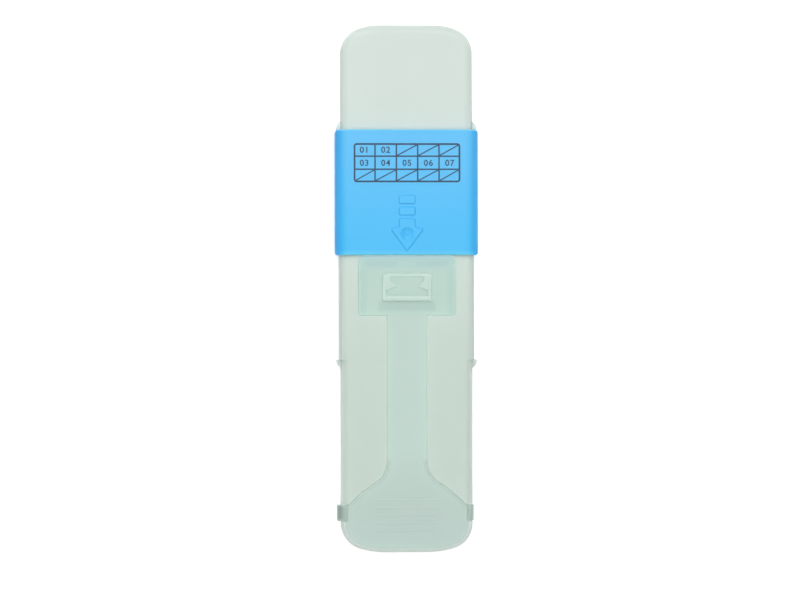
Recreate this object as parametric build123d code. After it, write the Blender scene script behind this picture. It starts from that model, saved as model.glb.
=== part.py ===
from build123d import *
import os
from math import asin, cos, radians, sin

# Slide-actuated lateral flow cassette, lying on its back.
# X runs across it, Y from the inlet end (-Y) to the plain end (+Y) and Z up out of the front.
# The origin is in the middle of the footprint, on the plane that the back rests on.
# All sizes are in millimetres, and angles in degrees.

# Housing, split into a front and a rear shell
BODY_LENGTH = 144.9
BODY_WIDTH = 36.2
TOP_CORNER = 7.0            # at each end the corner turns so far, then a wider shoulder runs on
TOP_SHOULDER = 15.4
TOP_TURN = 66.8
FOOT_CORNER = 7.1
FOOT_SHOULDER = 25.6
FOOT_TURN = 73.0
FRONT_EDGE = 2.4            # rounding of the front edge
REAR_EDGE = 1.2             # bevel of the back edge
WALL = 1.4
ROOF = 1.4
LAP_HEIGHT = 0.5            # lip of the rear shell inside the front one
LAP_THICKNESS = 0.6
LAP_GAP = 0.06
SEAM_CLEAR = 0.1            # from the lip up to the recess

# Track that the sleeve slides on, and the stops at its ends
TRACK_TO_TOP = 28.75        # from the plain end down to the track
TRACK_LENGTH = 63.2
TRACK_PROUD = 0.52          # each side, beyond the body
TRACK_REAR_EDGE = 1.2
TRACK_FLOOR = 1.2
STOP_PROUD = 1.25           # each side, beyond the body
STOP_LENGTH = 2.3
STOP_HEIGHT = 4.2
STOP_BULGE = (0.8, 0.55)    # point on the curved side, as shares of how proud and how long it is

# Sleeve
SLEEVE_LENGTH = 34.4
SLEEVE_WALL = 0.9
SLEEVE_GAP = 0.15           # all round the track
SLEEVE_END_PLAY = 0.1       # to the stop at either end of the travel
SLEEVE_LIFT = 0.1           # its back above the plane that the housing rests on
SLEEVE_EDGE = 0.35
SLEEVE_CORNER = 0.9         # seen from the front
RELIEF = 0.32               # height of the raised arrow
RELIEF_EDGE = 0.28          # bevel of its edges
ARROW_FROM_EDGE = 0.9       # tip to the sleeve's lower edge
ARROW_LENGTH = 9.25
ARROW_WIDTH = 4.6
ARROW_SPAN = 9.5
WING_FROM_TIP = 6.35
BAR_LENGTH = 2.45
BAR_SPACE = 0.7
BAR_COUNT = 2
ARROW_CORNER = 0.5
DIMPLE_RADIUS = 1.8
DIMPLE_DEPTH = 0.55
DIMPLE_FROM_TIP = 5.0
GATE_RADIUS = 0.4           # moulding point left in the middle of the dimple
GATE_HEIGHT = 0.2

# Lever in the T-shaped recess, pressed in by the sleeve
LEVER_THICKNESS = 1.4
LEVER_DROP = 0.2            # below the front face
LEVER_GAP = 0.15            # to the recess all round, and under its tail
LEVER_EDGE = 0.12
HEAD_PRESS = 1.2            # drop of the head's upper edge over the sleeve's whole travel
PRESS_CLEAR = 0.2           # left over the wick when the head is down
HEAD_TO_SLEEVE = 0.2
HEAD_WIDTH = 26.5
HEAD_LENGTH = 16.3
HEAD_TOP_CORNER = 1.7
HEAD_FOOT_CORNER = 0.7
STEM_WIDTH = 10.7
FLARE_FROM_PIVOT = 14.1
FLARE_RADIUS = 6.8          # the flare curls out, then runs on in a flat arc
FLARE_TURN = 57.0
FLANK_RADIUS = 45.6
FLANK_TURN = 12.6
RIM = 1.5                   # width of the housing's edge under the flared tail
RAMP_FROM_TOP = 4.4
RAMP_WIDTH = 13.7
RAMP_LENGTH = 8.15
RAMP_LEAD = 0.8
RAMP_ARCH = 0.5             # rise of the ramp's curved leading edge
RAMP_GAP = 0.12             # kept between ramp and sleeve as the sleeve passes
RAMP_SLOPE = 30.0           # of its sides, from upright
POCKET_DEPTH = 0.22         # waisted finger pocket in the ramp
POCKET_FROM_TOP = 1.25
POCKET_LENGTH = 5.2
POCKET_HEAD = (9.0, 1.1)    # width and length of its upper and lower parts
POCKET_FOOT = (11.2, 1.35)
POCKET_WAIST = (5.2, 2.8)   # width, and distance from its upper edge
POCKET_SLOPE = 45.0         # of its sides, from upright
FLANK_BEVEL = 0.35          # of the housing's edge beside the stem and the tail
FLANK_SLOPE = 45.0
GRIP_COUNT = 5
GRIP_PITCH = 2.1
GRIP_TO_PIVOT = 0.5         # from the middle rib up to the pivot
GRIP_WIDTH = 17.0
GRIP_PROUD = 0.06
GRIP_THICKNESS = 0.45

# Pivot at the lever's ears
PIVOT_FROM_FOOT = 10.9
PIVOT_RISE = 0.4            # above the recess floor
PIVOT_RADIUS = 0.9
PIVOT_GAP = 0.05
EAR_LENGTH = 4.3
EAR_PROUD_LEFT = 1.1        # the two ears stand out of the sides by different amounts
EAR_PROUD_RIGHT = 0.3
EAR_SINK = 0.45             # of its upper side below the lever's front
EAR_RISE = 0.4              # of its lower end above the seam
EAR_ROUND = 1.5
EAR_POCKET = 0.5            # sinking of the housing's side behind an ear
EAR_GAP = 0.1
EAR_SLOT_GAP = 0.25

# Recess, sample port and inlet
RECESS_FLOOR = 1.0
RECESS_WALL = 1.0
PORT_LEDGE = 0.95           # from the head's sides in to the port
PORT_FROM_TOP = 3.6         # from the head's upper and lower edges
PORT_FROM_FOOT = 2.7
SPONGE_GAP = 0.2
INLET_WIDTH = 14.0
INLET_HEIGHT = 1.1
WICK_THICKNESS = 0.8
WICK_INSET = 1.4
WICK_GAP = 0.2

# Test strips, one under each column of the printed grid
STRIP_COUNT = 5
STRIP_FROM_HEAD = 0.4       # above the head's lower edge
STRIP_TO_TOP = 9.35         # below the housing's plain end
STRIP_SIDE_GAP = 0.325      # to the rails
STRIP_END_GAP = 0.4
CARD_THICKNESS = 0.3
SAMPLE_THICKNESS = 0.8
SAMPLE_CLEAR = 0.4          # from the recess to where the sample pad climbs
CONJUGATE_LENGTH = 9.0
CONJUGATE_THICKNESS = 0.45
MEMBRANE_LENGTH = 25.0
MEMBRANE_THICKNESS = 0.2
ABSORBENT_THICKNESS = 1.0
PAD_OVERLAP = 2.0
PAD_SLOPE = 0.6
PAD_CLEAR = 0.2             # under the recess floor

# Bed of the strips and read windows
DIVIDER = 0.6
BED_MARGIN = 1.775          # from the outer rails to the walls
BED_HEIGHT = 0.55           # of the cross bars over the track's floor
BAR_WIDTH = 1.2
BED_BARS = 8
WINDOW_EDGE = 0.65          # from a strip's sides in to its window
WINDOW_TAPER = 6.0
WINDOW_WALL = 1.2
WINDOW_GAP = 0.3            # from the window's wall to the pads
WINDOW_CLEAR = 0.5          # over the membranes
HOLD_CLEAR = 0.2            # of the bars over the absorbent pads
HOLD_SHARES = (0.3, 0.7)    # where those bars lie along the pads

# Posts that pin the shells together
POST_RADIUS = 0.8
PIN_RADIUS = 0.45           # of the six-sided pins, to their corners
PIN_SIDES = 6
PIN_LENGTH = 2.2
PIN_GAP = 0.05
POST_GAP = 0.1
POST_TO_TRACK = 14.1        # from the track's upper end up to the first pair
POST_IN_TRACK = 29.4        # and down to the second

# Heights and stations that follow from the sizes above
TOP_Y = BODY_LENGTH / 2
FOOT_Y = -BODY_LENGTH / 2
SIDE_X = BODY_WIDTH / 2
TRACK_BACK_Z = SLEEVE_LIFT + SLEEVE_WALL + SLEEVE_GAP
BED_Z = TRACK_BACK_Z + TRACK_FLOOR + BED_HEIGHT
CARD_Z = BED_Z + CARD_THICKNESS
RECESS_BACK_Z = CARD_Z + SAMPLE_THICKNESS + PAD_CLEAR
SEAM_Z = RECESS_BACK_Z - LAP_HEIGHT - SEAM_CLEAR
RECESS_FLOOR_Z = RECESS_BACK_Z + RECESS_FLOOR
WICK_Z = RECESS_FLOOR_Z + WICK_THICKNESS
LEVER_BOTTOM_Z = WICK_Z + HEAD_PRESS + PRESS_CLEAR
LEVER_TOP_Z = LEVER_BOTTOM_Z + LEVER_THICKNESS
BODY_THICKNESS = LEVER_TOP_Z + LEVER_DROP
ROOF_Z = BODY_THICKNESS - ROOF
PIVOT_Z = RECESS_FLOOR_Z + PIVOT_RISE
EAR_FOOT_Z = SEAM_Z + EAR_RISE
TRACK_TOP_Y = TOP_Y - TRACK_TO_TOP
TRACK_FOOT_Y = TRACK_TOP_Y - TRACK_LENGTH
SLEEVE_TOP_Y = TRACK_TOP_Y - SLEEVE_END_PLAY
SLEEVE_FOOT_Y = SLEEVE_TOP_Y - SLEEVE_LENGTH
SLEEVE_TRAVEL = SLEEVE_FOOT_Y - TRACK_FOOT_Y - SLEEVE_END_PLAY
SLEEVE_INNER_Z = BODY_THICKNESS + SLEEVE_GAP
SLEEVE_FRONT_Z = SLEEVE_INNER_Z + SLEEVE_WALL
PIVOT_Y = FOOT_Y + PIVOT_FROM_FOOT
HEAD_TOP_Y = SLEEVE_FOOT_Y - HEAD_TO_SLEEVE
HEAD_FOOT_Y = HEAD_TOP_Y - HEAD_LENGTH
PRESS_TURN = asin(HEAD_PRESS / (HEAD_TOP_Y - PIVOT_Y))
FLARE_Y = PIVOT_Y + FLARE_FROM_PIVOT
RAMP_TOP_Y = HEAD_TOP_Y - RAMP_FROM_TOP
RAMP_FOOT_Y = RAMP_TOP_Y - RAMP_LENGTH
PORT_TOP_Y = HEAD_TOP_Y - PORT_FROM_TOP
PORT_FOOT_Y = HEAD_FOOT_Y + PORT_FROM_FOOT
PORT_HALF = HEAD_WIDTH / 2 - PORT_LEDGE
STRIP_FOOT_Y = HEAD_FOOT_Y + STRIP_FROM_HEAD
STRIP_TOP_Y = TOP_Y - STRIP_TO_TOP
CONJUGATE_Y = HEAD_TOP_Y + LEVER_GAP + RECESS_WALL + SAMPLE_CLEAR + PAD_SLOPE
CONJUGATE_TOP_Y = CONJUGATE_Y + CONJUGATE_LENGTH
MEMBRANE_Y = CONJUGATE_TOP_Y - PAD_OVERLAP
MEMBRANE_TOP_Y = MEMBRANE_Y + MEMBRANE_LENGTH
ABSORBENT_Y = MEMBRANE_TOP_Y - PAD_OVERLAP
BED_HALF = SIDE_X - WALL - BED_MARGIN
STRIP_PITCH = (2 * BED_HALF - DIVIDER) / STRIP_COUNT
STRIP_WIDTH = STRIP_PITCH - DIVIDER - 2 * STRIP_SIDE_GAP
WINDOW_Y = (CONJUGATE_TOP_Y + ABSORBENT_Y) / 2
WINDOW_LENGTH = ABSORBENT_Y - CONJUGATE_TOP_Y - 2 * (WINDOW_WALL + WINDOW_GAP)
WINDOW_WIDTH = STRIP_WIDTH - 2 * WINDOW_EDGE
WINDOW_Z = CARD_Z + MEMBRANE_THICKNESS + WINDOW_CLEAR


def block(x0, x1, y0, y1, z0, z1):
    """Box between two corners, given in any order along X."""
    return Pos((x0 + x1) / 2, (y0 + y1) / 2, (z0 + z1) / 2) * Box(abs(x1 - x0), y1 - y0, z1 - z0)


def slab(plan, low, high):
    """Upright solid with the given plan between two heights."""
    return extrude(Pos(0, 0, low) * plan, high - low, dir=(0, 0, 1))


def end_curves(way, corner, shoulder, turn, inset):
    """Corners, shoulders and flat of one end of the outline, from right to left."""
    step = shoulder - corner
    corner_x = SIDE_X - corner
    shoulder_x = corner_x - step * cos(radians(turn))
    shoulder_y = way * (TOP_Y - shoulder)
    corner_y = shoulder_y + way * step * sin(radians(turn))
    rest = 90 - turn
    right = [
        CenterArc((corner_x, corner_y), corner - inset, 0, way * turn),
        CenterArc((shoulder_x, shoulder_y), shoulder - inset, way * turn, way * rest),
    ]
    left = [
        CenterArc((-shoulder_x, shoulder_y), shoulder - inset, way * 90, way * rest),
        CenterArc((-corner_x, corner_y), corner - inset, way * (90 + rest), way * turn),
    ]
    return right + [Line(right[-1] @ 1, left[0] @ 0)] + left


def outline(inset):
    """Plan of the housing, drawn in from its edge by the inset."""
    top = end_curves(1, TOP_CORNER, TOP_SHOULDER, TOP_TURN, inset)
    foot = end_curves(-1, FOOT_CORNER, FOOT_SHOULDER, FOOT_TURN, inset)
    sides = [Line(foot[0] @ 0, top[0] @ 0), Line(top[-1] @ 1, foot[-1] @ 1)]
    return make_face(top + foot + sides)


def track_prism(grow, y0, y1):
    """Rounded bar of the track's section, larger all round by the given amount."""
    half = SIDE_X + TRACK_PROUD + grow
    bar = block(-half, half, y0, y1, TRACK_BACK_Z - grow, BODY_THICKNESS + grow)
    bar = fillet(bar.edges().filter_by(Axis.Y).group_by(Axis.Z)[-1], FRONT_EDGE + grow)
    return fillet(bar.edges().filter_by(Axis.Y).group_by(Axis.Z)[0], TRACK_REAR_EDGE + grow)


def stop(side, way, flat_y):
    """Bump on the housing's side, flat towards the sleeve and curved away from it."""
    root = side * (SIDE_X - WALL / 2)
    edge = side * SIDE_X
    crest = side * (SIDE_X + STOP_PROUD)
    end_y = flat_y + way * STOP_LENGTH
    bulge = (side * (SIDE_X + STOP_BULGE[0] * STOP_PROUD), flat_y + way * STOP_BULGE[1] * STOP_LENGTH)
    plan = make_face([
        Line((root, flat_y), (crest, flat_y)),
        ThreePointArc((crest, flat_y), bulge, (edge, end_y)),
        Line((edge, end_y), (root, end_y)),
        Line((root, end_y), (root, flat_y)),
    ])
    middle = (TRACK_BACK_Z + BODY_THICKNESS) / 2
    return slab(plan, middle - STOP_HEIGHT / 2, middle + STOP_HEIGHT / 2)


def rounded_block():
    """Block with the housing's outline and its front and back edges."""
    body = slab(outline(0), 0, BODY_THICKNESS)
    body = fillet(body.faces().sort_by(Axis.Z)[-1].edges(), FRONT_EDGE)
    return chamfer(body.faces().sort_by(Axis.Z)[0].edges(), REAR_EDGE)


def housing():
    """Whole housing as one closed block, before it is hollowed and split."""
    body = rounded_block()
    body -= block(-BODY_WIDTH, BODY_WIDTH, TRACK_FOOT_Y, TRACK_TOP_Y, -WALL, BODY_THICKNESS + WALL)
    body += track_prism(0, TRACK_FOOT_Y, TRACK_TOP_Y)
    for side in (-1, 1):
        body += stop(side, 1, TRACK_TOP_Y)
        body += stop(side, -1, TRACK_FOOT_Y)
    return body


def cavity():
    """Space inside the housing, shallower over the sunken back of the track."""
    space = slab(outline(WALL), WALL, ROOF_Z)
    low_y = TRACK_FOOT_Y - TRACK_FLOOR
    high_y = TRACK_TOP_Y + TRACK_FLOOR
    return space - block(-BODY_WIDTH, BODY_WIDTH, low_y, high_y, 0, TRACK_BACK_Z + TRACK_FLOOR)


def bell_plan(inset):
    """Flared tail of the lever, bounded by two curled flanks and the housing's outline less an inset."""
    half = STEM_WIDTH / 2
    curl = JernArc((half, FLARE_Y), (0, -1), FLARE_RADIUS, FLARE_TURN)
    flank = JernArc(curl @ 1, curl % 1, FLANK_RADIUS, -FLANK_TURN)
    corner = flank @ 1
    skirt = [
        Line(corner, (BODY_WIDTH, corner.Y)),
        Line((BODY_WIDTH, corner.Y), (BODY_WIDTH, 2 * FOOT_Y)),
        Line((BODY_WIDTH, 2 * FOOT_Y), (0, 2 * FOOT_Y)),
    ]
    middle = [Line((0, 2 * FOOT_Y), (0, FLARE_Y)), Line((0, FLARE_Y), (half, FLARE_Y))]
    right = make_face([curl, flank] + skirt + middle)
    return (right + mirror(right, about=Plane.YZ)) & outline(inset)


def shaft_plan(inset):
    """Stem and flared tail of the lever, without its head."""
    stem_length = HEAD_FOOT_Y - FLARE_Y
    return Pos(0, FLARE_Y + stem_length / 2) * Rectangle(STEM_WIDTH, stem_length) + bell_plan(inset)


def lever_plan(inset):
    """Whole lever seen from the front, without its ears, its tail drawn in by the inset."""
    head = Rectangle(HEAD_WIDTH, HEAD_LENGTH)
    rows = head.vertices().group_by(Axis.Y)
    head = fillet(rows[-1], HEAD_TOP_CORNER)
    head = fillet(head.vertices().group_by(Axis.Y)[0], HEAD_FOOT_CORNER)
    return Pos(0, HEAD_FOOT_Y + HEAD_LENGTH / 2) * head + shaft_plan(inset)


def recess_plan(grow):
    """Space under the lever inside the housing's rim, larger all round by the given amount."""
    return offset(lever_plan(RIM + LEVER_GAP), grow)


def ramp_height(y):
    """Height of the ramp that the passing sleeve edge just clears as it presses the lever in."""
    press = PRESS_TURN * (SLEEVE_FOOT_Y - y) / SLEEVE_TRAVEL
    return SLEEVE_INNER_Z - RAMP_GAP + (y - PIVOT_Y) * press


def ramp():
    """Raised wedge on the lever's head, rising away from the sleeve, with a finger pocket."""
    half = RAMP_WIDTH / 2
    lead_y = RAMP_TOP_Y - RAMP_LEAD
    root_z = LEVER_TOP_Z - LEVER_EDGE
    profile = Plane.YZ * make_face(Polyline(
        (RAMP_FOOT_Y, root_z),
        (RAMP_TOP_Y, root_z),
        (RAMP_TOP_Y, LEVER_TOP_Z),
        (lead_y, ramp_height(lead_y)),
        (RAMP_FOOT_Y, ramp_height(RAMP_FOOT_Y)),
        close=True,
    ))
    wedge = extrude(profile, half, both=True)
    side_y = RAMP_TOP_Y - RAMP_ARCH
    plan = make_face([
        ThreePointArc((half, side_y), (0, RAMP_TOP_Y), (-half, side_y)),
        Line((-half, side_y), (-half, RAMP_FOOT_Y)),
        Line((-half, RAMP_FOOT_Y), (half, RAMP_FOOT_Y)),
        Line((half, RAMP_FOOT_Y), (half, side_y)),
    ])
    height = ramp_height(RAMP_FOOT_Y) - root_z
    wedge = wedge & extrude(Pos(0, 0, root_z) * plan, 1.5 * height, dir=(0, 0, 1), taper=RAMP_SLOPE)
    pocket_z = ramp_height(RAMP_TOP_Y - POCKET_FROM_TOP) - POCKET_DEPTH
    pocket = Pos(0, 0, pocket_z) * pocket_plan()
    return wedge - extrude(pocket, height, dir=(0, 0, 1), taper=-POCKET_SLOPE)


def pocket_plan():
    """Waisted outline of the finger pocket, its two sides drawn in to points."""
    top_y = RAMP_TOP_Y - POCKET_FROM_TOP
    foot_y = top_y - POCKET_LENGTH
    head_x = POCKET_HEAD[0] / 2
    foot_x = POCKET_FOOT[0] / 2
    neck_y = top_y - POCKET_HEAD[1]
    hip_y = foot_y + POCKET_FOOT[1]
    waist = (POCKET_WAIST[0] / 2, top_y - POCKET_WAIST[1])
    right = make_face(Polyline(
        (0, top_y),
        (head_x, top_y),
        (head_x, neck_y),
        waist,
        (foot_x, hip_y),
        (foot_x, foot_y),
        (0, foot_y),
        close=True,
    ))
    return right + mirror(right, about=Plane.YZ)


def ear(side, proud):
    """Strap over the rim that turns down beside the housing, with a pivot pin on its inside."""
    inner = SIDE_X - EAR_POCKET + EAR_GAP
    outer = SIDE_X + proud
    root = SIDE_X - RIM - LEVER_GAP - WALL
    top_z = LEVER_TOP_Z - EAR_SINK
    low_y = PIVOT_Y - EAR_LENGTH / 2
    high_y = PIVOT_Y + EAR_LENGTH / 2
    strap = block(root, outer, low_y, high_y, LEVER_BOTTOM_Z, top_z)
    strap += block(inner, outer, low_y, high_y, EAR_FOOT_Z, top_z)
    corner = strap.edges().filter_by(Axis.Y).group_by(Axis.Z)[-1].sort_by(Axis.X)[-1]
    strap = fillet(corner, EAR_ROUND)
    pin_end = SIDE_X - WALL
    pin = Cylinder(PIVOT_RADIUS, inner - pin_end + EAR_GAP, align=(Align.CENTER, Align.CENTER, Align.MIN))
    strap += Pos(pin_end, PIVOT_Y, PIVOT_Z) * Rot(0, 90, 0) * pin
    return strap if side > 0 else mirror(strap, about=Plane.YZ)


def squeeze_lever():
    """Lever: head with ramp, stem, flared tail with grip ribs, and two ears with pivot pins."""
    lever = slab(lever_plan(0), LEVER_BOTTOM_Z, LEVER_TOP_Z)
    lever = chamfer(lever.faces().sort_by(Axis.Z)[-1].edges(), LEVER_EDGE) & rounded_block()
    for side, proud in ((-1, EAR_PROUD_LEFT), (1, EAR_PROUD_RIGHT)):
        inside = side * (SIDE_X - RIM - LEVER_GAP)
        span_y = (PIVOT_Y - EAR_LENGTH / 2, PIVOT_Y + EAR_LENGTH)
        lever -= block(inside, side * BODY_WIDTH, *span_y, LEVER_TOP_Z - EAR_SINK, BODY_THICKNESS)
        lever += ear(side, proud)
    lever += ramp()
    for row in range(GRIP_COUNT):
        y = PIVOT_Y - GRIP_TO_PIVOT + (row - (GRIP_COUNT - 1) / 2) * GRIP_PITCH
        rib_y = (y - GRIP_THICKNESS / 2, y + GRIP_THICKNESS / 2)
        rib_z = (LEVER_TOP_Z - LEVER_EDGE, LEVER_TOP_Z + GRIP_PROUD)
        lever += block(-GRIP_WIDTH / 2, GRIP_WIDTH / 2, *rib_y, *rib_z)
    return lever


def raised(plan):
    """Mark that stands out of the sleeve's front, with bevelled edges and a root in the wall."""
    mark = slab(plan, SLEEVE_FRONT_Z - SLEEVE_WALL / 2, SLEEVE_FRONT_Z + RELIEF)
    return chamfer(mark.faces().sort_by(Axis.Z)[-1].edges(), RELIEF_EDGE)


def slide_sleeve():
    """Sleeve round the track, with a raised arrow that points along its travel."""
    sleeve = track_prism(SLEEVE_GAP + SLEEVE_WALL, SLEEVE_FOOT_Y, SLEEVE_TOP_Y)
    ends = sleeve.faces().filter_by(Axis.Y)
    sleeve = chamfer(ends.edges(), SLEEVE_EDGE)
    width = BODY_WIDTH + 2 * (TRACK_PROUD + SLEEVE_GAP + SLEEVE_WALL)
    plan = RectangleRounded(width, SLEEVE_LENGTH, SLEEVE_CORNER)
    sleeve = sleeve & slab(Pos(0, (SLEEVE_FOOT_Y + SLEEVE_TOP_Y) / 2) * plan, 0, BODY_THICKNESS * 2)
    sleeve -= track_prism(SLEEVE_GAP, SLEEVE_FOOT_Y - WALL, SLEEVE_TOP_Y + WALL)
    tip_y = SLEEVE_FOOT_Y + ARROW_FROM_EDGE
    wing_y = tip_y + WING_FROM_TIP
    shaft_y = tip_y + ARROW_LENGTH
    half = ARROW_WIDTH / 2
    arrow = make_face(Polyline(
        (half, shaft_y),
        (half, wing_y + ARROW_CORNER),
        (ARROW_SPAN / 2, wing_y),
        (0, tip_y),
        (-ARROW_SPAN / 2, wing_y),
        (-half, wing_y + ARROW_CORNER),
        (-half, shaft_y),
        close=True,
    ))
    sleeve += raised(fillet(arrow.vertices(), ARROW_CORNER))
    for row in range(BAR_COUNT):
        bar_y = shaft_y + BAR_SPACE + BAR_LENGTH / 2 + row * (BAR_LENGTH + BAR_SPACE)
        bar = Pos(0, bar_y) * RectangleRounded(ARROW_WIDTH, BAR_LENGTH, ARROW_CORNER)
        sleeve += raised(bar)
    ball = (DIMPLE_RADIUS ** 2 + DIMPLE_DEPTH ** 2) / (2 * DIMPLE_DEPTH)
    dimple_y = tip_y + DIMPLE_FROM_TIP
    dimple_z = SLEEVE_FRONT_Z + RELIEF - DIMPLE_DEPTH
    sleeve -= Pos(0, dimple_y, dimple_z + ball) * Sphere(ball)
    gate = slab(Circle(GATE_RADIUS), SLEEVE_FRONT_Z - SLEEVE_WALL / 2, dimple_z + GATE_HEIGHT)
    return sleeve + Pos(0, dimple_y) * gate


def post_places():
    """Centres of the posts: two pairs along the walls and one pair beside the lever's stem."""
    wall_x = SIDE_X - WALL - POST_GAP - POST_RADIUS
    stem_x = (STEM_WIDTH / 2 + LEVER_GAP + RECESS_WALL + SIDE_X - WALL) / 2
    right = [
        (wall_x, TRACK_TOP_Y + POST_TO_TRACK),
        (wall_x, TRACK_TOP_Y - POST_IN_TRACK),
        (stem_x, (HEAD_FOOT_Y + FLARE_Y) / 2),
    ]
    return [(side * x, y) for x, y in right for side in (-1, 1)]


def rear_shell(body, space):
    """Rear half: floor, walls with a lap lip, bed of the strips and pins."""
    upper = block(-BODY_WIDTH, BODY_WIDTH, FOOT_Y * 2, TOP_Y * 2, SEAM_Z, BODY_THICKNESS * 2)
    shell = (body - upper) - space
    lip = outline(WALL - LAP_THICKNESS) - outline(WALL)
    shell += slab(lip, SEAM_Z - WALL, SEAM_Z + LAP_HEIGHT)
    root_z = TRACK_BACK_Z + LAP_GAP
    span = STRIP_TOP_Y - STRIP_FOOT_Y - BAR_WIDTH
    for row in range(BED_BARS):
        y = STRIP_FOOT_Y + row * span / (BED_BARS - 1)
        shell += block(-BED_HALF, BED_HALF, y, y + BAR_WIDTH, root_z, BED_Z)
    low_y = STRIP_FOOT_Y - STRIP_END_GAP
    high_y = STRIP_TOP_Y + STRIP_END_GAP
    for rail in range(STRIP_COUNT + 1):
        x = (rail - STRIP_COUNT / 2) * STRIP_PITCH
        shell += block(x - DIVIDER / 2, x + DIVIDER / 2, low_y, high_y, root_z, SEAM_Z)
    shell += block(-BED_HALF, BED_HALF, low_y - DIVIDER, low_y, root_z, SEAM_Z)
    shell += block(-BED_HALF, BED_HALF, high_y, high_y + DIVIDER, root_z, SEAM_Z)
    for x, y in post_places():
        shell += Pos(x, y) * slab(Circle(POST_RADIUS), root_z, SEAM_Z)
        shell += Pos(x, y) * slab(RegularPolygon(PIN_RADIUS, PIN_SIDES), root_z, SEAM_Z + PIN_LENGTH)
    return shell


def strip_places():
    """Stations of the strips across the cassette."""
    return [(strip - (STRIP_COUNT - 1) / 2) * STRIP_PITCH for strip in range(STRIP_COUNT)]


def read_windows():
    """Funnel-shaped windows, widening towards the front, one over each membrane."""
    depth = BODY_THICKNESS - WINDOW_Z
    window = extrude(Rectangle(WINDOW_WIDTH, WINDOW_LENGTH), depth, taper=-WINDOW_TAPER)
    return [Pos(x, WINDOW_Y, WINDOW_Z) * window for x in strip_places()]


def front_shell(body, space):
    """Front half: roof, windows, recess of the lever, sample port, inlet and sockets."""
    lower = block(-BODY_WIDTH, BODY_WIDTH, FOOT_Y * 2, TOP_Y * 2, -WALL, SEAM_Z)
    shell = (body - lower) - space
    seat = outline(WALL - LAP_THICKNESS - LAP_GAP) - outline(WALL)
    shell -= slab(seat, SEAM_Z - WALL, SEAM_Z + LAP_HEIGHT + LAP_GAP)

    tub = slab(recess_plan(LEVER_GAP + RECESS_WALL), RECESS_BACK_Z, ROOF_Z)
    shell += tub & slab(outline(WALL / 2), 0, BODY_THICKNESS)
    half_y = WINDOW_LENGTH / 2 + WINDOW_WALL
    shell += block(-BED_HALF, BED_HALF, WINDOW_Y - half_y, WINDOW_Y + half_y, WINDOW_Z, ROOF_Z)
    hold_z = CARD_Z + ABSORBENT_THICKNESS + HOLD_CLEAR
    for share in HOLD_SHARES:
        y = MEMBRANE_TOP_Y + share * (STRIP_TOP_Y - MEMBRANE_TOP_Y)
        shell += block(-BED_HALF, BED_HALF, y, y + BAR_WIDTH, hold_z, ROOF_Z)
    for x, y in post_places():
        shell += Pos(x, y) * slab(Circle(POST_RADIUS), SEAM_Z + POST_GAP, ROOF_Z)
        shell -= Pos(x, y) * slab(Circle(PIN_RADIUS + PIN_GAP), SEAM_Z, SEAM_Z + PIN_LENGTH + POST_GAP)

    shell -= slab(recess_plan(LEVER_GAP), RECESS_FLOOR_Z, BODY_THICKNESS * 2)
    shell -= slab(offset(bell_plan(0), LEVER_GAP), LEVER_BOTTOM_Z - LEVER_GAP, BODY_THICKNESS * 2)
    edge = Pos(0, 0, BODY_THICKNESS - FLANK_BEVEL) * offset(shaft_plan(0), LEVER_GAP)
    shell -= extrude(edge, 2 * FLANK_BEVEL, dir=(0, 0, 1), taper=-FLANK_SLOPE)
    shell -= block(-PORT_HALF, PORT_HALF, PORT_FOOT_Y, PORT_TOP_Y, SEAM_Z, BODY_THICKNESS)
    for window in read_windows():
        shell -= window
    inlet_z = (RECESS_FLOOR_Z, RECESS_FLOOR_Z + INLET_HEIGHT)
    shell -= block(-INLET_WIDTH / 2, INLET_WIDTH / 2, FOOT_Y - WALL, FOOT_Y + 2 * RIM, *inlet_z)

    low_y = PIVOT_Y - EAR_LENGTH / 2 - EAR_SLOT_GAP
    high_y = PIVOT_Y + EAR_LENGTH / 2 + EAR_SLOT_GAP
    hole = Cylinder(PIVOT_RADIUS + PIVOT_GAP, BODY_WIDTH, align=(Align.CENTER, Align.CENTER, Align.MIN))
    for side in (-1, 1):
        shell -= Pos(side * (SIDE_X - RIM), PIVOT_Y, PIVOT_Z) * Rot(0, side * 90, 0) * hole
        inside = side * (SIDE_X - RIM - LEVER_GAP)
        pocket = side * (SIDE_X - EAR_POCKET)
        clear = side * BODY_WIDTH
        shell -= block(inside, clear, low_y, high_y, LEVER_BOTTOM_Z - LEVER_GAP, BODY_THICKNESS * 2)
        shell -= block(pocket, clear, low_y, high_y, EAR_FOOT_Z - EAR_SLOT_GAP, BODY_THICKNESS * 2)
    return shell


def squeeze_sponge():
    """Sponge in the sample port, from the sample pads up to the lever's head."""
    half = PORT_HALF - SPONGE_GAP
    span_y = (PORT_FOOT_Y + SPONGE_GAP, PORT_TOP_Y - SPONGE_GAP)
    return block(-half, half, *span_y, CARD_Z + SAMPLE_THICKNESS, LEVER_BOTTOM_Z)


def sample_wick():
    """Felt wick on the floor of the recess, from the inlet to the sponge."""
    plan = offset(shaft_plan(RIM + LEVER_GAP), -WICK_INSET)
    stem_half = STEM_WIDTH / 2 - WICK_INSET
    lead_y = (FLARE_Y, PORT_FOOT_Y - WICK_GAP)
    plan += Pos(0, sum(lead_y) / 2) * Rectangle(2 * stem_half, lead_y[1] - lead_y[0])
    tongue_y = (FOOT_Y + WICK_GAP, PIVOT_Y)
    plan += Pos(0, sum(tongue_y) / 2) * Rectangle(INLET_WIDTH - 2 * WICK_GAP, tongue_y[1] - tongue_y[0])
    return slab(plan, RECESS_FLOOR_Z, WICK_Z)


def strip_layer(points):
    """Layer of a strip, from its outline seen from the side."""
    profile = Plane.YZ * make_face(Polyline(*points, close=True))
    return extrude(profile, STRIP_WIDTH / 2, both=True)


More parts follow.
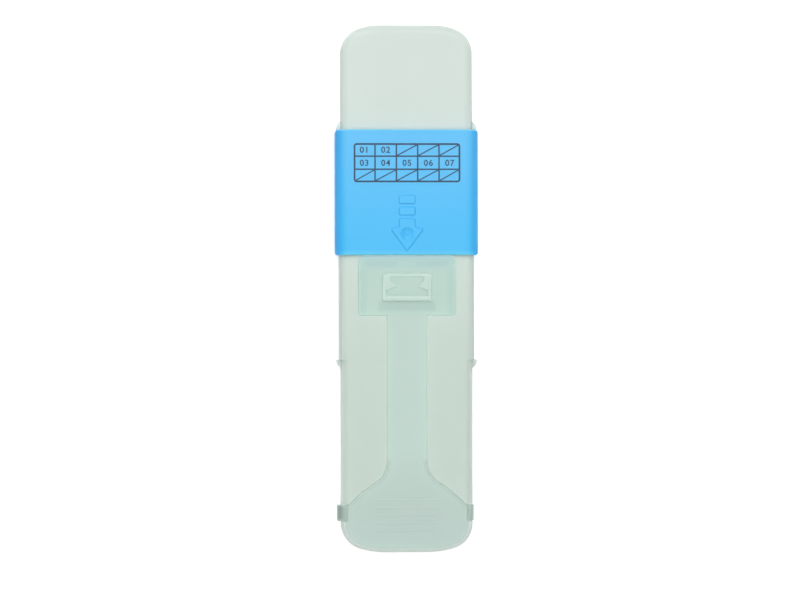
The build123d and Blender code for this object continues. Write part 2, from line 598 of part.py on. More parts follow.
def stepped_pad(free_y, step_y, end_y, rise, thickness):
    """Pad that lies on the card and steps up on to the end of its neighbour."""
    way = 1 if end_y > step_y else -1
    upper = CARD_Z + rise
    return strip_layer([
        (free_y, CARD_Z),
        (step_y, CARD_Z),
        (step_y, upper),
        (end_y, upper),
        (end_y, upper + thickness),
        (step_y, upper + thickness),
        (step_y - way * PAD_SLOPE, CARD_Z + thickness),
        (free_y, CARD_Z + thickness),
    ])


def strip_layers():
    """The five layers of one test strip, on the centre line."""
    half = STRIP_WIDTH / 2
    sample_top_y = CONJUGATE_Y + PAD_OVERLAP
    membrane_z = (CARD_Z, CARD_Z + MEMBRANE_THICKNESS)
    return {
        "backing_card": block(-half, half, STRIP_FOOT_Y, STRIP_TOP_Y, BED_Z, CARD_Z),
        "sample_pad": stepped_pad(STRIP_FOOT_Y, CONJUGATE_Y, sample_top_y, CONJUGATE_THICKNESS,
                                  SAMPLE_THICKNESS),
        "conjugate_pad": stepped_pad(CONJUGATE_Y, MEMBRANE_Y, CONJUGATE_TOP_Y, MEMBRANE_THICKNESS,
                                     CONJUGATE_THICKNESS),
        "membrane": block(-half, half, MEMBRANE_Y, MEMBRANE_TOP_Y, *membrane_z),
        "absorbent_pad": stepped_pad(STRIP_TOP_Y, MEMBRANE_TOP_Y, ABSORBENT_Y, MEMBRANE_THICKNESS,
                                     ABSORBENT_THICKNESS),
    }


def cassette():
    """Every piece of the cassette by name."""
    body = housing()
    space = cavity()
    pieces = {
        "front_shell": front_shell(body, space),
        "rear_shell": rear_shell(body, space),
        "slide_sleeve": slide_sleeve(),
        "squeeze_lever": squeeze_lever(),
        "squeeze_sponge": squeeze_sponge(),
        "sample_wick": sample_wick(),
    }
    for name, layer in strip_layers().items():
        for strip, x in enumerate(strip_places(), 1):
            pieces[f"{name}_{strip}"] = Pos(x, 0, 0) * layer
    return pieces


os.makedirs("parts", exist_ok=True)
for name, piece in cassette().items():
    export_step(piece, f"parts/{name}.step")
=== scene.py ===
import math

import bmesh
import bpy
from mathutils import Matrix, Vector, noise


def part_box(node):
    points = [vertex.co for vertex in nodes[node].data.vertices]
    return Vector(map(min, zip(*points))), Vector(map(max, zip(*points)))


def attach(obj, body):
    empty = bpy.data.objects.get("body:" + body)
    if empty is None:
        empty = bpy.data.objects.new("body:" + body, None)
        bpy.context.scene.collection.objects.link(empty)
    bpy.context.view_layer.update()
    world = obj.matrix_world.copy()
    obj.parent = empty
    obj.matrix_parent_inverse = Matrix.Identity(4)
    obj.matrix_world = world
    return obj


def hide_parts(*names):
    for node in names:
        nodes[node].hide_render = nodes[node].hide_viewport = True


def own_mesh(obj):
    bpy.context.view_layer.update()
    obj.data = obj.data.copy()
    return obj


# The looks of a slide-actuated lateral flow cassette lying on its back.
# X runs across it, Y from the inlet end to the plain end and Z up. Lengths are in metres, apart from the
# zones of the plastics, which are in millimetres.

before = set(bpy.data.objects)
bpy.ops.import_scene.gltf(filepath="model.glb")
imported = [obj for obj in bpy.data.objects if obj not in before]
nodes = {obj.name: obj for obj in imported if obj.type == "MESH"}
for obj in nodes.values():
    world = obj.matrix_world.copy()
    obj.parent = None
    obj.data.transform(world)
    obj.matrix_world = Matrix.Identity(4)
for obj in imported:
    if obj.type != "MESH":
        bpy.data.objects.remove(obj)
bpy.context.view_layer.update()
scene = bpy.context.scene
MM = 0.001

# Camera, straight above with a slight lean to the left
VIEW_CENTRE = Vector((-1.81, -3.09, 6.5)) * MM
VIEW_WIDTH = 220.0 * MM
VIEW_DISTANCE = 0.8
VIEW_LEAN = math.radians(3.0)
VIEW_ROLL = math.radians(-0.1)
SENSOR = 36.0
CLIP_NEAR = 0.01
CLIP_FAR = 20.0

# Lights and floor
KEY_PLACE = Vector((-0.05, 0.58, 0.66))
KEY_SIZE = 0.60
KEY_POWER = 3.5
FILL_PLACE = Vector((0.0, -0.58, 0.66))
FILL_SIZE = 0.60
FILL_POWER = 1.4
TOP_PLACE = Vector((0.0, 0.0, 0.90))
TOP_SIZE = 0.70
TOP_POWER = 3.1
SKY_STRENGTH = 0.23
FLOOR_SIZE = 6.0
FLOOR_DROP = 0.02 * MM
FLOOR_ROUGHNESS = 0.9
FLOOR_GLOW = 0.42

# Colours, as linear values
SHELL_COLOUR = (0.680, 0.778, 0.722)
LEVER_COLOUR = (0.548, 0.676, 0.620)
SLEEVE_COLOUR = (0.128, 0.554, 0.960)
INK_COLOUR = (0.020, 0.060, 0.135)
FOAM_COLOUR = (0.700, 0.640, 0.420)
FELT_COLOUR = (0.760, 0.750, 0.700)
CARD_COLOUR = (0.820, 0.820, 0.800)
PAD_COLOUR = (0.800, 0.795, 0.770)
CONJUGATE_COLOUR = (0.560, 0.330, 0.400)
MEMBRANE_COLOUR = (0.850, 0.850, 0.835)
FLOOR_COLOUR = (0.90, 0.90, 0.90)

# Zones of a plastic with another colour, many of them painted light and shade: the colour, the zone's
# limits in millimetres along the object's own axes, SIDE being the distance from its middle plane, and how
# soft its edges are
FAR = 200.0
SHELL_TINTS_AND_PAINTED_LIGHT = [
    # towards the foot, painted shade on the rounded edge of the plain end, a painted bluish reflection of
    # the sleeve above it
    ((0.600, 0.697, 0.637), {"Y": (-FAR, 7.0)}, 38.0),
    ((0.630, 0.720, 0.668), {"Y": (70.4, FAR), "Z": (-FAR, 9.0)}, 0.6),
    ((0.672, 0.778, 0.740), {"Y": (43.0, 48.0)}, 6.0),
    # painted shade on the sides, darker still at their edge, and painted light on the upper stops on them
    ((0.620, 0.710, 0.660), {"SIDE": (17.45, FAR)}, 0.3),
    ((0.545, 0.622, 0.580), {"SIDE": (17.9, FAR)}, 0.12),
    ((0.700, 0.800, 0.750), {"SIDE": (18.2, FAR), "Y": (43.0, 46.6)}, 0.1),
]
LEVER_TINTS_AND_PAINTED_LIGHT = [
    # the head, its sides, and a painted shadow of the sleeve on its upper part
    ((0.525, 0.682, 0.616), {"Y": (-7.4, FAR)}, 0.3),
    ((0.478, 0.640, 0.590), {"SIDE": (11.3, FAR), "Y": (-7.4, FAR)}, 1.2),
    ((0.487, 0.650, 0.618), {"Y": (5.2, FAR)}, 1.2),
    # the tail in three steps towards its foot, a painted highlight on the tops of its grip ribs and
    # painted light on its rounded rim
    ((0.530, 0.653, 0.602), {"Y": (-FAR, -50.0)}, 6.0),
    ((0.532, 0.666, 0.618), {"Y": (-FAR, -64.0)}, 4.0),
    ((0.543, 0.700, 0.637), {"Y": (-FAR, -70.3)}, 1.0),
    ((0.552, 0.690, 0.638), {"SIDE": (-FAR, 8.6), "Y": (-67.5, -56.5), "Z": (8.82, 9.0)}, 0.015),
    ((0.700, 0.870, 0.780), {"Y": (-FAR, -63.9), "Z": (7.3, 8.7)}, 0.08),
    # painted bluish light from the sleeve next to it, painted light on the ramp's top, a painted shadow
    # below the ramp and painted shade in patches above it
    ((0.520, 0.700, 0.800), {"Y": (8.5, FAR)}, 0.4),
    ((0.565, 0.713, 0.654), {"Z": (9.1, FAR)}, 0.06),
    ((0.462, 0.612, 0.567), {"SIDE": (-FAR, 7.8), "Y": (-6.0, -3.4)}, 0.7),
    ((0.462, 0.618, 0.600), {"SIDE": (2.6, 11.5), "Y": (6.3, 7.5)}, 0.8),
    # both ears, and the tip of the left one
    ((0.420, 0.520, 0.470), {"SIDE": (16.5, FAR), "Y": (-63.75, -59.3)}, 0.45),
    ((0.298, 0.378, 0.347), {"X": (-FAR, -17.7), "Y": (-63.2, -59.3)}, 0.7),
]
SLEEVE_TINTS_AND_PAINTED_LIGHT = [
    # the lower half, painted light on its lower edge and a painted highlight on its lip, then a painted
    # highlight on the upper lip
    ((0.074, 0.539, 0.970), {"Y": (-FAR, 26.4)}, 17.4),
    ((0.105, 0.590, 0.990), {"Y": (-FAR, 10.3)}, 0.6),
    ((0.170, 0.740, 1.000), {"Y": (-FAR, 9.55)}, 0.08),
    ((0.170, 0.680, 1.000), {"Y": (43.3, FAR)}, 0.08),
    # painted shade on the rounded sides, darker still at their outer edge
    ((0.030, 0.430, 0.930), {"SIDE": (18.2, FAR)}, 1.2),
    ((0.010, 0.330, 0.720), {"SIDE": (19.2, FAR)}, 0.3),
]

# Shade along the lever's curved flanks, which curl out and then run on in a flat arc: the middle of each
# curve, the distances from it at no shade and at full shade, and the zone that the shade keeps to
FLANK_SHADE = (0.476, 0.576, 0.532)
FLANK_SOFT = 0.5
FLANKS = [
    ((12.15, -47.45), (8.1, 6.8), {"SIDE": (-FAR, 8.45), "Y": (-55.0, -47.0)}),
    ((-16.39, -91.40), (44.3, 45.6), {"SIDE": (8.45, 16.4), "Y": (-62.0, -50.0)}),
]

# Zones with a painted glow, set as emission, standing in for light that comes through the plastic: into
# the gap round the lever and behind its ears, at the ramp's sides, and out of the sleeve's upper end
GAP_GLOW = 0.30
GAP_SOFT = 0.03
GAP_STEEP = (0.98, 0.20)    # upward part of a face's direction at no glow and at full glow
GAP_DEEP = (8.70, 8.55)     # and heights in millimetres, for faces that lie deep in the gap
SHELL_GAPS = [
    {"SIDE": (-FAR, 16.4), "Y": (-65.0, 9.2), "Z": (4.9, 9.1)},
    {"SIDE": (16.0, 18.0), "Y": (-64.3, -59.0), "Z": (3.5, 9.1)},
]
LEVER_GAPS = [
    {"Y": (-59.3, 9.1), "Z": (7.0, 8.65)},
    {"SIDE": (-FAR, 7.3), "Y": (-4.4, 5.4), "Z": (8.7, 10.0)},
]
SLEEVE_GAPS = [{"Y": (43.4, FAR)}]

# Finishes that all plastics, or all fibres, have in common
MOTTLE_STOPS = (0.32, 0.68)     # noise values at the darker and the lighter colour
EDGE_SAMPLES = 4
ROUGH_SPREAD = 0.05
PLASTIC_IOR = 1.49
FIBRE_ROUGHNESS = 0.95
FIBRE_SHINE = 0.15
FIBRE_SHEEN = 0.25
INK_ROUGHNESS = 0.5

# Soft pieces inside the housing
ROUNDING = 0.5              # share of the way that a point moves in each smoothing pass
ROUNDING_PASSES = 3

# Printed grid on the sleeve
RELIEF = 0.32 * MM
GRID_COLUMNS = 5
GRID_ROWS = 3
GRID_PITCH = 5.85 * MM
GRID_ROW = 3.57 * MM
GRID_FROM_TOP = 3.75 * MM
GRID_CORNER = 0.85 * MM
FRAME_LINE = 0.48 * MM
CELL_LINE = 0.40 * MM
SLASH_LINE = 0.32 * MM
INK_THICKNESS = 0.02 * MM
NUMBER_HEIGHT = 1.65 * MM
NUMBER_WEIGHT = 0.04 * MM
NUMBER_DROP = 0.12 * MM     # below the middle of its cell
NUMBER_SPACING = 1.15
NUMBER_STEPS = 4            # in each curve of a digit
DIGIT_SHARE = 0.7           # height of a digit in the font, as a share of the font's size
CORNER_STEPS = 6
NUMBERED = {(0, 0), (0, 1), (1, 0), (1, 1), (1, 2), (1, 3), (1, 4)}


def material(name):
    """New node material with its shader, ready to be wired."""
    made = bpy.data.materials.new(name)
    made.use_nodes = True
    return made, made.node_tree, made.node_tree.nodes["Principled BSDF"]


def link(tree, source, target):
    tree.links.new(source, target)


def shade(colour, factor):
    """The colour, lighter or darker by a factor, as four values."""
    return tuple(min(1.0, c * factor) for c in colour) + (1.0,)


def noise_node(tree, scale, detail):
    """Noise in the object's own metres."""
    place = tree.nodes.new("ShaderNodeTexCoord")
    cloud = tree.nodes.new("ShaderNodeTexNoise")
    cloud.inputs["Scale"].default_value = scale
    cloud.inputs["Detail"].default_value = detail
    link(tree, place.outputs["Object"], cloud.inputs["Vector"])
    return cloud


def mottle(tree, shader, colour, scale, spread, detail=3.0):
    """Base colour that drifts a little either side of the given one."""
    cloud = noise_node(tree, scale, detail)
    ramp = tree.nodes.new("ShaderNodeValToRGB")
    for stop, place, factor in zip(ramp.color_ramp.elements, MOTTLE_STOPS, (1 - spread, 1 + spread)):
        stop.position = place
        stop.color = shade(colour, factor)
    link(tree, cloud.outputs["Fac"], ramp.inputs["Fac"])
    link(tree, ramp.outputs["Color"], shader.inputs["Base Color"])


def coordinate(tree, axis, kind="Object"):
    """One of the object's own coordinates, in metres, or of a face's direction."""
    place = tree.nodes.new("ShaderNodeTexCoord")
    split = tree.nodes.new("ShaderNodeSeparateXYZ")
    link(tree, place.outputs[kind], split.inputs["Vector"])
    return split.outputs[axis]


def fade(tree, source, bounds):
    """Share that goes from 0 to 1 as a value passes from the first bound to the second."""
    step = tree.nodes.new("ShaderNodeMapRange")
    step.interpolation_type = "SMOOTHSTEP"
    step.inputs["From Min"].default_value = bounds[0]
    step.inputs["From Max"].default_value = bounds[1]
    link(tree, source, step.inputs["Value"])
    return step.outputs["Result"]


def calculate(tree, operation, *sources):
    """Result of a sum over one or two varying values."""
    node = tree.nodes.new("ShaderNodeMath")
    node.operation = operation
    for source, target in zip(sources, node.inputs):
        link(tree, source, target)
    return node.outputs["Value"]


def zone(tree, limits, soft):
    """Mask of a zone of the object, from its limits and the softness of its edges in millimetres."""
    soft = soft * MM
    mask = None
    for axis, (low, high) in limits.items():
        source = coordinate(tree, "X" if axis == "SIDE" else axis)
        if axis == "SIDE":
            source = calculate(tree, "ABSOLUTE", source)
        above = fade(tree, source, (low * MM - soft, low * MM + soft))
        below = fade(tree, source, (high * MM + soft, high * MM - soft))
        for part in (above, below):
            mask = part if mask is None else calculate(tree, "MULTIPLY", mask, part)
    return mask


def round_fade(tree, middle, bounds):
    """Share that goes from 0 to 1 between two distances from an upright axis, alike on both sides."""
    spot = tree.nodes.new("ShaderNodeCombineXYZ")
    link(tree, calculate(tree, "ABSOLUTE", coordinate(tree, "X")), spot.inputs["X"])
    link(tree, coordinate(tree, "Y"), spot.inputs["Y"])
    reach = tree.nodes.new("ShaderNodeVectorMath")
    reach.operation = "DISTANCE"
    reach.inputs[1].default_value = (middle[0] * MM, middle[1] * MM, 0)
    link(tree, spot.outputs["Vector"], reach.inputs[0])
    return fade(tree, reach.outputs["Value"], [bound * MM for bound in bounds])


def tint(made, colour, mask):
    """Lets a second colour take over where a mask is full."""
    tree = made.node_tree
    target = tree.nodes["Principled BSDF"].inputs["Base Color"]
    blend = tree.nodes.new("ShaderNodeMixRGB")
    blend.inputs["Color2"].default_value = colour + (1.0,)
    link(tree, target.links[0].from_socket, blend.inputs["Color1"])
    link(tree, mask, blend.inputs["Fac"])
    link(tree, blend.outputs["Color"], target)


def painted_glow(made, colour, gaps):
    """Painted glow, set as emission, on the steep and the deep faces of some zones, standing in for light
    that the plastic lets through.
    """
    tree = made.node_tree
    shader = tree.nodes["Principled BSDF"]
    steep = fade(tree, coordinate(tree, "Z", "Normal"), GAP_STEEP)
    deep = fade(tree, coordinate(tree, "Z"), [height * MM for height in GAP_DEEP])
    lit = calculate(tree, "MAXIMUM", steep, deep)
    inside = zone(tree, gaps[0], GAP_SOFT)
    for limits in gaps[1:]:
        inside = calculate(tree, "MAXIMUM", inside, zone(tree, limits, GAP_SOFT))
    level = tree.nodes.new("ShaderNodeMapRange")
    level.inputs["To Max"].default_value = GAP_GLOW
    link(tree, calculate(tree, "MULTIPLY", inside, lit), level.inputs["Value"])
    shader.inputs["Emission Color"].default_value = colour + (1.0,)
    link(tree, level.outputs["Result"], shader.inputs["Emission Strength"])


def roughen(tree, shader, low, high, scale):
    """Roughness that wanders between two values."""
    cloud = noise_node(tree, scale, 2.0)
    spread = tree.nodes.new("ShaderNodeMapRange")
    spread.inputs["To Min"].default_value = low
    spread.inputs["To Max"].default_value = high
    link(tree, cloud.outputs["Fac"], spread.inputs["Value"])
    link(tree, spread.outputs["Result"], shader.inputs["Roughness"])


def grain(tree, shader, scale, strength, depth, edge=0.0):
    """Fine surface grain, on edges softened by the given radius."""
    cloud = noise_node(tree, scale, 4.0)
    bump = tree.nodes.new("ShaderNodeBump")
    bump.inputs["Strength"].default_value = strength
    bump.inputs["Distance"].default_value = depth
    link(tree, cloud.outputs["Fac"], bump.inputs["Height"])
    if edge:
        round_off = tree.nodes.new("ShaderNodeBevel")
        round_off.samples = EDGE_SAMPLES
        round_off.inputs["Radius"].default_value = edge
        link(tree, round_off.outputs["Normal"], bump.inputs["Normal"])
    link(tree, bump.outputs["Normal"], shader.inputs["Normal"])


def moulded(name, colour, spread, rough, glow, depth, edge, shine=0.5):
    """Moulded plastic: faint flow marks, a fine satin grain and light that spreads under its skin."""
    made, tree, shader = material(name)
    mottle(tree, shader, colour, scale=55.0, spread=spread)
    roughen(tree, shader, rough - ROUGH_SPREAD, rough + ROUGH_SPREAD, scale=260.0)
    grain(tree, shader, scale=9000.0, strength=0.10, depth=0.03 * MM, edge=edge)
    shader.inputs["IOR"].default_value = PLASTIC_IOR
    shader.inputs["Specular IOR Level"].default_value = shine
    shader.inputs["Subsurface Weight"].default_value = glow
    shader.inputs["Subsurface Radius"].default_value = (1.0, 1.0, 1.0)
    shader.inputs["Subsurface Scale"].default_value = depth
    return made


def fibrous(name, colour, spread, scale, depth):
    """Matt fibre or foam with visible tufts."""
    made, tree, shader = material(name)
    mottle(tree, shader, colour, scale, spread, detail=6.0)
    grain(tree, shader, scale * 3, strength=0.6, depth=depth)
    shader.inputs["Roughness"].default_value = FIBRE_ROUGHNESS
    shader.inputs["Specular IOR Level"].default_value = FIBRE_SHINE
    shader.inputs["Sheen Weight"].default_value = FIBRE_SHEEN
    return made


def sheet_finish(name, colour, spread, rough):
    """Thin smooth sheet: card or membrane with a faint tooth."""
    made, tree, shader = material(name)
    mottle(tree, shader, colour, scale=900.0, spread=spread)
    grain(tree, shader, scale=12000.0, strength=0.2, depth=0.01 * MM)
    shader.inputs["Roughness"].default_value = rough
    return made


def printed(name, colour):
    """Pad-printed ink with a slightly uneven coat."""
    made, tree, shader = material(name)
    mottle(tree, shader, colour, scale=1800.0, spread=0.25)
    shader.inputs["Roughness"].default_value = INK_ROUGHNESS
    return made


SHELL = moulded("milky_plastic", SHELL_COLOUR,
                spread=0.012, rough=0.42, glow=0.9, depth=2.5 * MM, edge=0.12 * MM)
LEVER = moulded("lever_plastic_green", LEVER_COLOUR,
                spread=0.012, rough=0.38, glow=0.9, depth=2.5 * MM, edge=0.20 * MM)
SLEEVE = moulded("sleeve_plastic_blue", SLEEVE_COLOUR,
                 spread=0.010, rough=0.40, glow=0.15, depth=1.2 * MM, edge=0.12 * MM, shine=0.3)
INK = printed("grid_ink", INK_COLOUR)
FOAM = fibrous("foam", FOAM_COLOUR, spread=0.10, scale=1400.0, depth=0.25 * MM)
FELT = fibrous("felt", FELT_COLOUR, spread=0.06, scale=2200.0, depth=0.12 * MM)
PAD = fibrous("glass_fibre", PAD_COLOUR, spread=0.05, scale=2600.0, depth=0.08 * MM)
CONJUGATE = fibrous("dyed_fibre", CONJUGATE_COLOUR, spread=0.08, scale=2400.0, depth=0.08 * MM)
CARD = sheet_finish("backing_card_white", CARD_COLOUR, spread=0.01, rough=0.45)
MEMBRANE = sheet_finish("membrane_white", MEMBRANE_COLOUR, spread=0.015, rough=0.7)


def dress_plastics():
    """Zones of colour, painted light and painted shade, painted shade along the lever's flanks and a
    painted glow in the gaps.
    """
    for plastic, tints_and_painted_light in ((SHELL, SHELL_TINTS_AND_PAINTED_LIGHT), (LEVER, LEVER_TINTS_AND_PAINTED_LIGHT), (SLEEVE, SLEEVE_TINTS_AND_PAINTED_LIGHT)):
        for colour, limits, soft in tints_and_painted_light:
            tint(plastic, colour, zone(plastic.node_tree, limits, soft))
    tree = LEVER.node_tree
    for middle, bounds, limits in FLANKS:
        kept = zone(tree, limits, FLANK_SOFT)
        tint(LEVER, FLANK_SHADE, calculate(tree, "MULTIPLY", kept, round_fade(tree, middle, bounds)))
    painted_glow(SHELL, SHELL_COLOUR, SHELL_GAPS)
    painted_glow(LEVER, LEVER_COLOUR, LEVER_GAPS)
    painted_glow(SLEEVE, SLEEVE_COLOUR, SLEEVE_GAPS)


def finish_cad(name, made):
    """Gives a CAD node its material."""
    data = nodes[name].data
    data.materials.clear()
    data.materials.append(made)


def add_piece(name, mesh, made, body):
    """New piece of the object that rides on a body."""
    piece = bpy.data.objects.new(name, mesh)
    scene.collection.objects.link(piece)
    mesh.materials.clear()
    mesh.materials.append(made)
    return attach(piece, body)


def settled_mesh(piece, name):
    """Mesh of an object with its modifiers, as new data."""
    bpy.context.view_layer.update()
    depsgraph = bpy.context.evaluated_depsgraph_get()
    mesh = bpy.data.meshes.new_from_object(piece.evaluated_get(depsgraph))
    mesh.name = name
    return mesh


def soft_mesh(node, cell, sink, tuft):
    """Soft form of a CAD solid: rounded edges and an uneven skin, just inside the solid."""
    work = bpy.data.objects.new(node + "_work", nodes[node].data.copy())
    scene.collection.objects.link(work)
    remesh = work.modifiers.new("cells", "REMESH")
    remesh.mode = "VOXEL"
    remesh.voxel_size = cell
    smooth = work.modifiers.new("round", "SMOOTH")
    smooth.factor = ROUNDING
    smooth.iterations = ROUNDING_PASSES
    mesh = settled_mesh(work, node + "_soft")
    bpy.data.objects.remove(work)
    low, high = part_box(node)
    for vertex in mesh.vertices:
        share = (1 - noise.noise(vertex.co / tuft)) / 2
        moved = vertex.co - vertex.normal * (share * sink)
        vertex.co = Vector(min(max(moved[i], low[i]), high[i]) for i in range(3))
    for polygon in mesh.polygons:
        polygon.use_smooth = True
    return mesh


def soft_piece(node, mesh, made):
    """Soft piece that stands for a CAD solid inside the housing."""
    piece = add_piece(node + "_soft", mesh, made, "housing")
    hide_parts(node)
    return piece


def soft_row(kind, made, cell, sink, tuft):
    """One soft piece for each strip, all of the same form."""
    first = soft_mesh(f"{kind}_1", cell, sink, tuft)
    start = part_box(f"{kind}_1")[0]
    for strip in range(1, GRID_COLUMNS + 1):
        node = f"{kind}_{strip}"
        mesh = first.copy()
        mesh.transform(Matrix.Translation(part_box(node)[0] - start))
        soft_piece(node, mesh, made)


def flat_shape(name, splines):
    """Thin plate from closed outlines, the first one outside and the rest as holes."""
    curve = bpy.data.curves.new(name, "CURVE")
    curve.dimensions = "2D"
    curve.fill_mode = "BOTH"
    curve.extrude = INK_THICKNESS / 2
    for points in splines:
        spline = curve.splines.new("POLY")
        spline.points.add(len(points) - 1)
        for target, (x, y) in zip(spline.points, points):
            target.co = (x, y, 0, 1)
        spline.use_cyclic_u = True
    piece = bpy.data.objects.new(name, curve)
    scene.collection.objects.link(piece)
    mesh = settled_mesh(piece, name)
    bpy.data.objects.remove(piece)
    return mesh


def rounded_box(x0, x1, y0, y1, radii):
    """Corner points of a rectangle, anticlockwise from its lower left, each corner with its own radius."""
    corners = [(x0, y0, 180), (x1, y0, 270), (x1, y1, 0), (x0, y1, 90)]
    points = []
    for (x, y, start), radius in zip(corners, radii):
        if not radius:
            points.append((x, y))
            continue
        cx = x + radius if x == x0 else x - radius
        cy = y + radius if y == y0 else y - radius
        for step in range(CORNER_STEPS + 1):
            turn = math.radians(start + 90 * step / CORNER_STEPS)
            points.append((cx + radius * math.cos(turn), cy + radius * math.sin(turn)))
    return points


def split_cell(x0, x1, y0, y1, across, along, radius, upper):
    """One side of a cell that is split by a slash from its lower left to its upper right."""
    if upper:
        corner = rounded_box(x0, x1, y0, y1, [0, 0, 0, radius])[3:]
        return [(x0, y0 + across), (x1 - along, y1)] + corner
    corner = rounded_box(x0, x1, y0, y1, [0, radius, 0, 0])[1:-2]
    return [(x0 + along, y0)] + corner + [(x1, y1 - across)]


def grid_holes(left, top):
    """Openings of the printed grid: whole cells for the numbered ones, two triangles for the others."""
    holes = []
    for row in range(GRID_ROWS):
        for column in range(GRID_COLUMNS):
            edge = {
                "left": FRAME_LINE if column == 0 else CELL_LINE / 2,
                "right": FRAME_LINE if column == GRID_COLUMNS - 1 else CELL_LINE / 2,
                "top": FRAME_LINE if row == 0 else CELL_LINE / 2,
                "foot": FRAME_LINE if row == GRID_ROWS - 1 else CELL_LINE / 2,
            }
            x0 = left + column * GRID_PITCH + edge["left"]
            x1 = left + (column + 1) * GRID_PITCH - edge["right"]
            y0 = top - (row + 1) * GRID_ROW + edge["foot"]
            y1 = top - row * GRID_ROW - edge["top"]
            inner = GRID_CORNER - FRAME_LINE
            radii = [
                inner if (row, column) == (GRID_ROWS - 1, 0) else 0,
                inner if (row, column) == (GRID_ROWS - 1, GRID_COLUMNS - 1) else 0,
                inner if (row, column) == (0, GRID_COLUMNS - 1) else 0,
                inner if (row, column) == (0, 0) else 0,
            ]
            if (row, column) in NUMBERED:
                holes.append(rounded_box(x0, x1, y0, y1, radii))
                continue
            slope = (y1 - y0) / (x1 - x0)
            across = SLASH_LINE / 2 * math.hypot(1, slope)
            along = across / slope
            holes.append(split_cell(x0, x1, y0, y1, across, along, radii[3], upper=True))
            holes.append(split_cell(x0, x1, y0, y1, across, along, radii[1], upper=False))
    return holes


def number_mesh(text):
    """Flat digits, centred on the origin."""
    curve = bpy.data.curves.new("number", "FONT")
    curve.body = text
    curve.align_x = "CENTER"
    curve.align_y = "CENTER"
    curve.size = NUMBER_HEIGHT / DIGIT_SHARE
    curve.space_character = NUMBER_SPACING
    curve.extrude = INK_THICKNESS / 2
    curve.offset = NUMBER_WEIGHT
    curve.resolution_u = NUMBER_STEPS
    piece = bpy.data.objects.new("number", curve)
    scene.collection.objects.link(piece)
    mesh = settled_mesh(piece, "number")
    bpy.data.objects.remove(piece)
    return mesh


def sleeve_print():
    """Grid and cell numbers printed on the front of the sleeve."""
    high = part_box("slide_sleeve")[1]
    ink_z = high.z - RELIEF + INK_THICKNESS / 2
    left = -GRID_COLUMNS * GRID_PITCH / 2
    top = high.y - GRID_FROM_TOP
    right = left + GRID_COLUMNS * GRID_PITCH
    foot = top - GRID_ROWS * GRID_ROW
    frame_line = rounded_box(left, right, foot, top, [GRID_CORNER] * 4)
    mesh = flat_shape("sleeve_grid", [frame_line] + grid_holes(left, top))
    mesh.transform(Matrix.Translation((0, 0, ink_z)))
    add_piece("sleeve_grid", mesh, INK, "sleeve")
    joined = bmesh.new()
    for count, (row, column) in enumerate(sorted(NUMBERED), 1):
        digits = number_mesh(f"{count:02d}")
        x = left + (column + 0.5) * GRID_PITCH
        y = top - (row + 0.5) * GRID_ROW - NUMBER_DROP
        digits.transform(Matrix.Translation((x, y, ink_z)))
        joined.from_mesh(digits)
    numbers = bpy.data.meshes.new("sleeve_numbers")
    joined.to_mesh(numbers)
    joined.free()
    add_piece("sleeve_numbers", numbers, INK, "sleeve")


def inner_pieces():
    """Soft pieces that stand for the plain solids inside the housing."""
    mesh = soft_mesh("squeeze_sponge", cell=0.28 * MM, sink=0.12 * MM, tuft=0.5 * MM)
    sponge = soft_piece("squeeze_sponge", mesh, FOAM)
    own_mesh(sponge)
    mesh = soft_mesh("sample_wick", cell=0.45 * MM, sink=0.06 * MM, tuft=0.9 * MM)
    soft_piece("sample_wick", mesh, FELT)
    for kind in ("sample_pad", "absorbent_pad"):
        soft_row(kind, PAD, cell=0.3 * MM, sink=0.05 * MM, tuft=0.6 * MM)
    soft_row("conjugate_pad", CONJUGATE, cell=0.25 * MM, sink=0.04 * MM, tuft=0.5 * MM)
    for strip in range(1, GRID_COLUMNS + 1):
        finish_cad(f"backing_card_{strip}", CARD)
        finish_cad(f"membrane_{strip}", MEMBRANE)


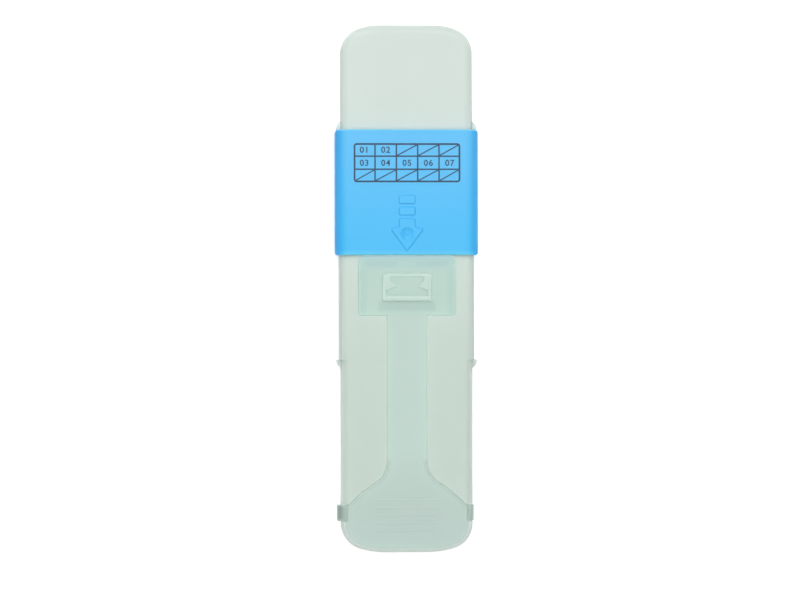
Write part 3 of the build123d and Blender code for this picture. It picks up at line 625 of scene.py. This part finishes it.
def camera():
    """Camera over the object, at the photograph's angle."""
    data = bpy.data.cameras.new("camera")
    data.sensor_width = SENSOR
    data.lens = SENSOR * VIEW_DISTANCE / VIEW_WIDTH
    data.clip_start = CLIP_NEAR
    data.clip_end = CLIP_FAR
    eye = bpy.data.objects.new("camera", data)
    scene.collection.objects.link(eye)
    back = Vector((-math.sin(VIEW_LEAN), 0, math.cos(VIEW_LEAN)))
    eye.location = VIEW_CENTRE + back * VIEW_DISTANCE
    turn = Matrix.Rotation(-VIEW_LEAN, 4, "Y") @ Matrix.Rotation(VIEW_ROLL, 4, "Z")
    eye.rotation_euler = turn.to_euler()
    scene.camera = eye


def area_light(name, place, size, power):
    """Square soft light aimed at the object."""
    data = bpy.data.lights.new(name, "AREA")
    data.size = size
    data.energy = power
    lamp = bpy.data.objects.new(name, data)
    scene.collection.objects.link(lamp)
    lamp.location = place
    lamp.rotation_euler = (-place).to_track_quat("-Z", "Y").to_euler()


def studio():
    """White floor, soft lights and a pale sky."""
    mesh = bpy.data.meshes.new("floor")
    half = FLOOR_SIZE / 2
    corners = [(-half, -half, 0), (half, -half, 0), (half, half, 0), (-half, half, 0)]
    mesh.from_pydata(corners, [], [(0, 1, 2, 3)])
    floor = bpy.data.objects.new("floor", mesh)
    floor.location.z = -FLOOR_DROP
    scene.collection.objects.link(floor)
    made, _, shader = material("floor_white")
    shader.inputs["Base Color"].default_value = FLOOR_COLOUR + (1.0,)
    shader.inputs["Roughness"].default_value = FLOOR_ROUGHNESS
    shader.inputs["Emission Color"].default_value = (1, 1, 1, 1)
    shader.inputs["Emission Strength"].default_value = FLOOR_GLOW
    mesh.materials.append(made)
    area_light("key", KEY_PLACE, KEY_SIZE, KEY_POWER)
    area_light("fill", FILL_PLACE, FILL_SIZE, FILL_POWER)
    area_light("top", TOP_PLACE, TOP_SIZE, TOP_POWER)
    world = bpy.data.worlds.new("sky")
    world.use_nodes = True
    world.node_tree.nodes["Background"].inputs["Color"].default_value = (1, 1, 1, 1)
    world.node_tree.nodes["Background"].inputs["Strength"].default_value = SKY_STRENGTH
    scene.world = world
    scene.view_settings.view_transform = "Standard"


dress_plastics()
for shell in ("front_shell", "rear_shell"):
    finish_cad(shell, SHELL)
finish_cad("squeeze_lever", LEVER)
finish_cad("slide_sleeve", SLEEVE)
sleeve_print()
inner_pieces()
camera()
studio()
